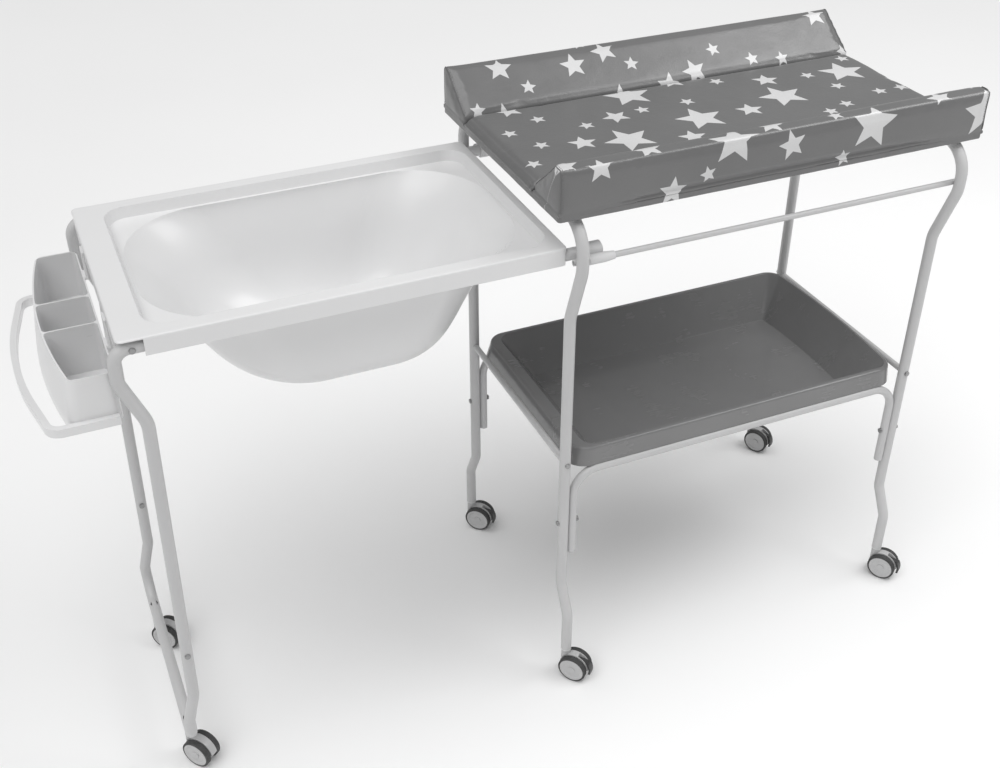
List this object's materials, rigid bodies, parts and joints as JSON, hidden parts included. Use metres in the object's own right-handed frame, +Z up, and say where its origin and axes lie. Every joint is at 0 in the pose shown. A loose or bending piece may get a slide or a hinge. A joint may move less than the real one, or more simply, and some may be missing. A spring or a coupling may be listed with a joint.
{
  "type": "changing table",
  "caption": "Tubular baby changing table on twin-wheel casters: padded changer on top, bath that slides out on its own legs, storage tray below and an organiser with a towel bar.",
  "frame": {"origin": "on the floor under the middle of the overall box, with the bath slid out", "axes": "+X along the table from the bath to the changer, +Y from front to back, +Z up"},
  "size_m": [1.6094, 0.5476, 1.0656],
  "materials": {
    "white_tube": "white powder coat, satin",
    "screw_steel": "zinc-plated",
    "pin_steel": "turned steel",
    "white_plastic_gloss": "moulded white, glossy",
    "white_plastic_matte": "moulded white, fine grain",
    "dark_plastic": "vacuum-formed dark grey, glossy",
    "board": "fibreboard, wrapped by the cover",
    "mat_cover": "printed wipe-clean vinyl with pale stars",
    "caster_body": "light grey moulding",
    "hub_plastic": "pale moulding",
    "tyre": "dark soft tread",
    "lever_plastic": "dark moulding",
    "plug_rubber": "soft grey"
  },
  "bodies": {
    "main_frame": {"left_hoop": "white_tube", "right_hoop": "white_tube", "lower_leg_front_left": "white_tube", "lower_leg_front_right": "white_tube", "lower_leg_back_left": "white_tube", "lower_leg_back_right": "white_tube", "shelf_cross_bars": "white_tube", "shelf_rail_front": "white_tube", "shelf_rail_back": "white_tube", "guide_rod_front": "white_tube", "guide_rod_back": "white_tube", "frame_screws": "screw_steel", "leg_caster_sockets": "white_plastic_matte"},
    "changer_top": {"changer_board": "board", "changer_mat": "mat_cover", "front_bolster": "mat_cover", "back_bolster": "mat_cover", "changer_clips": "white_plastic_matte"},
    "tray": {"storage_tray": "dark_plastic"},
    "bath_unit": {"bath_shell": "white_plastic_gloss", "bath_leg_front": "white_tube", "bath_leg_back": "white_tube", "bath_foot_frame": "white_tube", "slider_front": "white_plastic_matte", "slider_back": "white_plastic_matte", "bath_screws": "screw_steel", "bath_caster_sockets": "white_plastic_matte", "drain_outlet": "white_plastic_matte", "organiser": "white_plastic_gloss"},
    "plug": {"drain_plug": "plug_rubber"},
    "caster_front_left_swivel": {"caster_front_left_housing": "caster_body", "caster_front_left_pins": "pin_steel"},
    "caster_front_left_wheels": {"caster_front_left_hubs": "hub_plastic", "caster_front_left_tyres": "tyre"},
    "caster_front_left_brake": {"caster_front_left_brake": "lever_plastic"},
    "caster_front_right_swivel": {"caster_front_right_housing": "caster_body", "caster_front_right_pins": "pin_steel"},
    "caster_front_right_wheels": {"caster_front_right_hubs": "hub_plastic", "caster_front_right_tyres": "tyre"},
    "caster_front_right_brake": {"caster_front_right_brake": "lever_plastic"},
    "caster_back_left_swivel": {"caster_back_left_housing": "caster_body", "caster_back_left_pins": "pin_steel"},
    "caster_back_left_wheels": {"caster_back_left_hubs": "hub_plastic", "caster_back_left_tyres": "tyre"},
    "caster_back_left_brake": {"caster_back_left_brake": "lever_plastic"},
    "caster_back_right_swivel": {"caster_back_right_housing": "caster_body", "caster_back_right_pins": "pin_steel"},
    "caster_back_right_wheels": {"caster_back_right_hubs": "hub_plastic", "caster_back_right_tyres": "tyre"},
    "caster_back_right_brake": {"caster_back_right_brake": "lever_plastic"},
    "caster_bath_front_swivel": {"caster_bath_front_housing": "caster_body", "caster_bath_front_pins": "pin_steel"},
    "caster_bath_front_wheels": {"caster_bath_front_hubs": "hub_plastic", "caster_bath_front_tyres": "tyre"},
    "caster_bath_back_swivel": {"caster_bath_back_housing": "caster_body", "caster_bath_back_pins": "pin_steel"},
    "caster_bath_back_wheels": {"caster_bath_back_hubs": "hub_plastic", "caster_bath_back_tyres": "tyre"}
  },
  "joints": [
    {"name": "changer_lift", "type": "slide", "parent": "main_frame", "child": "changer_top", "axis": [0, 0, 1], "range_m": [0, 0.25]},
    {"name": "tray_lift", "type": "slide", "parent": "main_frame", "child": "tray", "axis": [0, 0, 1], "range_m": [0, 0.12]},
    {"name": "bath_slide", "type": "slide", "parent": "main_frame", "child": "bath_unit", "axis": [1, 0, 0], "range_m": [0, 0.63]},
    {"name": "plug_lift", "type": "slide", "parent": "bath_unit", "child": "plug", "axis": [0, 0, 1], "range_m": [0, 0.15]},
    {"name": "caster_front_left_turn", "type": "hinge", "parent": "main_frame", "child": "caster_front_left_swivel", "pos_m": [0.03726, -0.2243, 0.06], "axis": [0, 0, 1], "continuous": true},
    {"name": "caster_front_left_roll", "type": "hinge", "parent": "caster_front_left_swivel", "child": "caster_front_left_wheels", "pos_m": [0.05011, -0.23962, 0.028], "axis": [0.766, 0.6428, 0], "continuous": true},
    {"name": "caster_front_left_press", "type": "hinge", "parent": "caster_front_left_swivel", "child": "caster_front_left_brake", "pos_m": [0.05718, -0.24805, 0.045], "axis": [0.766, 0.6428, 0], "range_deg": [0, 6]},
    {"name": "caster_front_right_turn", "type": "hinge", "parent": "main_frame", "child": "caster_front_right_swivel", "pos_m": [0.76326, -0.2243, 0.06], "axis": [0, 0, 1], "continuous": true},
    {"name": "caster_front_right_roll", "type": "hinge", "parent": "caster_front_right_swivel", "child": "caster_front_right_wheels", "pos_m": [0.77444, -0.24088, 0.028], "axis": [0.829, 0.5592, 0], "continuous": true},
    {"name": "caster_front_right_press", "type": "hinge", "parent": "caster_front_right_swivel", "child": "caster_front_right_brake", "pos_m": [0.78059, -0.25, 0.045], "axis": [0.829, 0.5592, 0], "range_deg": [0, 6]},
    {"name": "caster_back_left_turn", "type": "hinge", "parent": "main_frame", "child": "caster_back_left_swivel", "pos_m": [0.03726, 0.2557, 0.06], "axis": [0, 0, 1], "continuous": true},
    {"name": "caster_back_left_roll", "type": "hinge", "parent": "caster_back_left_swivel", "child": "caster_back_left_wheels", "pos_m": [0.05164, 0.24181, 0.028], "axis": [0.6947, 0.7193, 0], "continuous": true},
    {"name": "caster_back_left_press", "type": "hinge", "parent": "caster_back_left_swivel", "child": "caster_back_left_brake", "pos_m": [0.05956, 0.23417, 0.045], "axis": [0.6947, 0.7193, 0], "range_deg": [0, 6]},
    {"name": "caster_back_right_turn", "type": "hinge", "parent": "main_frame", "child": "caster_back_right_swivel", "pos_m": [0.76326, 0.2557, 0.06], "axis": [0, 0, 1], "continuous": true},
    {"name": "caster_back_right_roll", "type": "hinge", "parent": "caster_back_right_swivel", "child": "caster_back_right_wheels", "pos_m": [0.77386, 0.23874, 0.028], "axis": [0.848, 0.5299, 0], "continuous": true},
    {"name": "caster_back_right_press", "type": "hinge", "parent": "caster_back_right_swivel", "child": "caster_back_right_brake", "pos_m": [0.77968, 0.22941, 0.045], "axis": [0.848, 0.5299, 0], "range_deg": [0, 6]},
    {"name": "caster_bath_front_turn", "type": "hinge", "parent": "bath_unit", "child": "caster_bath_front_swivel", "pos_m": [-0.66874, -0.1393, 0.06], "axis": [0, 0, 1], "continuous": true},
    {"name": "caster_bath_front_roll", "type": "hinge", "parent": "caster_bath_front_swivel", "child": "caster_bath_front_wheels", "pos_m": [-0.65589, -0.15462, 0.028], "axis": [0.766, 0.6428, 0], "continuous": true},
    {"name": "caster_bath_back_turn", "type": "hinge", "parent": "bath_unit", "child": "caster_bath_back_swivel", "pos_m": [-0.66874, 0.1707, 0.06], "axis": [0, 0, 1], "continuous": true},
    {"name": "caster_bath_back_roll", "type": "hinge", "parent": "caster_bath_back_swivel", "child": "caster_bath_back_wheels", "pos_m": [-0.65342, 0.15785, 0.028], "axis": [0.6428, 0.766, 0], "continuous": true}
  ]
}
